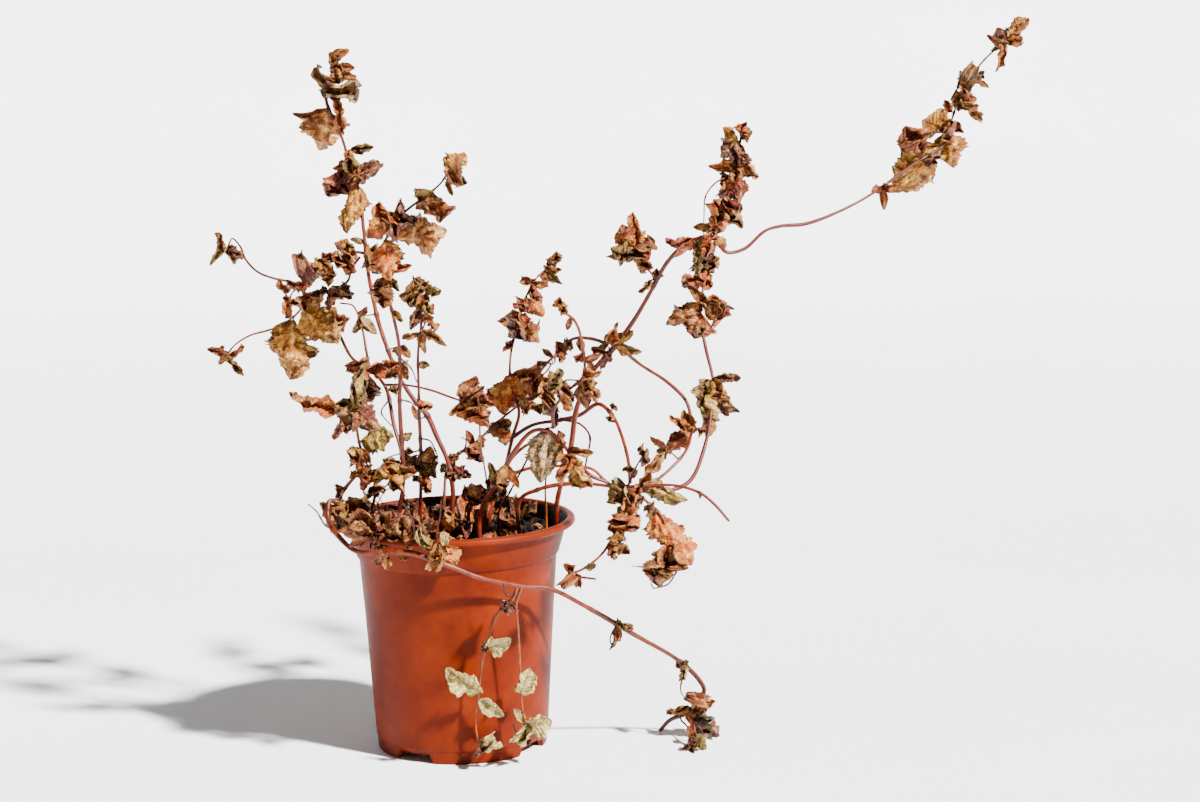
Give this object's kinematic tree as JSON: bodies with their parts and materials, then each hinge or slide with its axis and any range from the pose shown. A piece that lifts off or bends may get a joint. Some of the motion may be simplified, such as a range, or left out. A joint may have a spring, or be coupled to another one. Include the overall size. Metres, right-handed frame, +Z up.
{
  "type": "dead houseplant",
  "caption": "Dried-out mint-like houseplant with curled brown leaves on thin bent stems, trailing over the rim of its orange plastic nursery pot.",
  "frame": {"origin": "middle of the whole plant's box, on the surface that the pot stands on", "axes": "+Z up; +X towards the long runner on the plant's right, its widest direction; -Y towards the front, where the trailing stem crosses the pot"},
  "size_m": [0.4602, 0.1648, 0.3924],
  "materials": {
    "pot_plastic": "thin moulded polypropylene, satin, orange outside and black inside, dusty and scuffed",
    "soil": "dry dark peat compost with white flecks",
    "stem": "dried square herb stem, dark red to brown, ridged",
    "pale_stem": "dried thin stem, tan to grey brown",
    "leaf": "dried crumpled leaf, golden to dark brown with raised veins",
    "pale_leaf": "bleached dried leaf, cream with green veins"
  },
  "bodies": {
    "root": {"branch_back_arch": "stem", "branch_inner_curl": "stem", "branch_inner_sweep": "stem", "branch_left_high": "stem", "branch_left_low": "stem", "branch_low_tail": "stem", "branch_middle_level": "stem", "hanger_long": "pale_stem", "hanger_short": "pale_stem", "leaf_brown_left": "leaf", "leaf_brown_right": "leaf", "leaf_cluster_long": "leaf", "leaf_cluster_round": "leaf", "leaf_dark_middle": "leaf", "leaf_fan_left": "leaf", "leaf_fan_low": "leaf", "leaf_fan_right": "leaf", "leaf_far_crown": "leaf", "leaf_far_dark": "leaf", "leaf_far_gold": "leaf", "leaf_far_long": "leaf", "leaf_front_left": "pale_leaf", "leaf_front_right": "pale_leaf", "leaf_grey_hanging": "leaf", "leaf_junction_olive": "leaf", "leaf_left_cup": "leaf", "leaf_left_olive": "leaf", "leaf_left_saw": "leaf", "leaf_middle_drop": "leaf", "leaf_netted": "leaf", "leaf_sweep_down": "leaf", "leaf_sweep_right": "leaf", "leaf_tan_cup": "leaf", "leaf_top_left": "leaf", "leaf_trailing_end": "pale_leaf", "petiole_right": "stem", "pot": "pot_plastic", "runner_far_right": "stem", "shoot_down_left": "stem", "soil": "soil", "stem_back_arch": "stem", "stem_front_arch": "stem", "stem_front_pale": "pale_stem", "stem_left_arm": "stem", "stem_left_bent": "stem", "stem_left_low": "stem", "stem_left_short": "stem", "stem_level_pink": "stem", "stem_low_right": "stem", "stem_middle_slant": "stem", "stem_middle_tall": "stem", "stem_over_arch": "stem", "stem_right_rise": "stem", "stem_right_sweep": "stem", "stem_straight": "stem", "stem_tall_left": "stem", "stem_thin_dark": "stem", "stem_thin_grey": "stem", "stem_thin_pale": "pale_stem", "stem_trailing": "stem"}
  },
  "joints": []
}
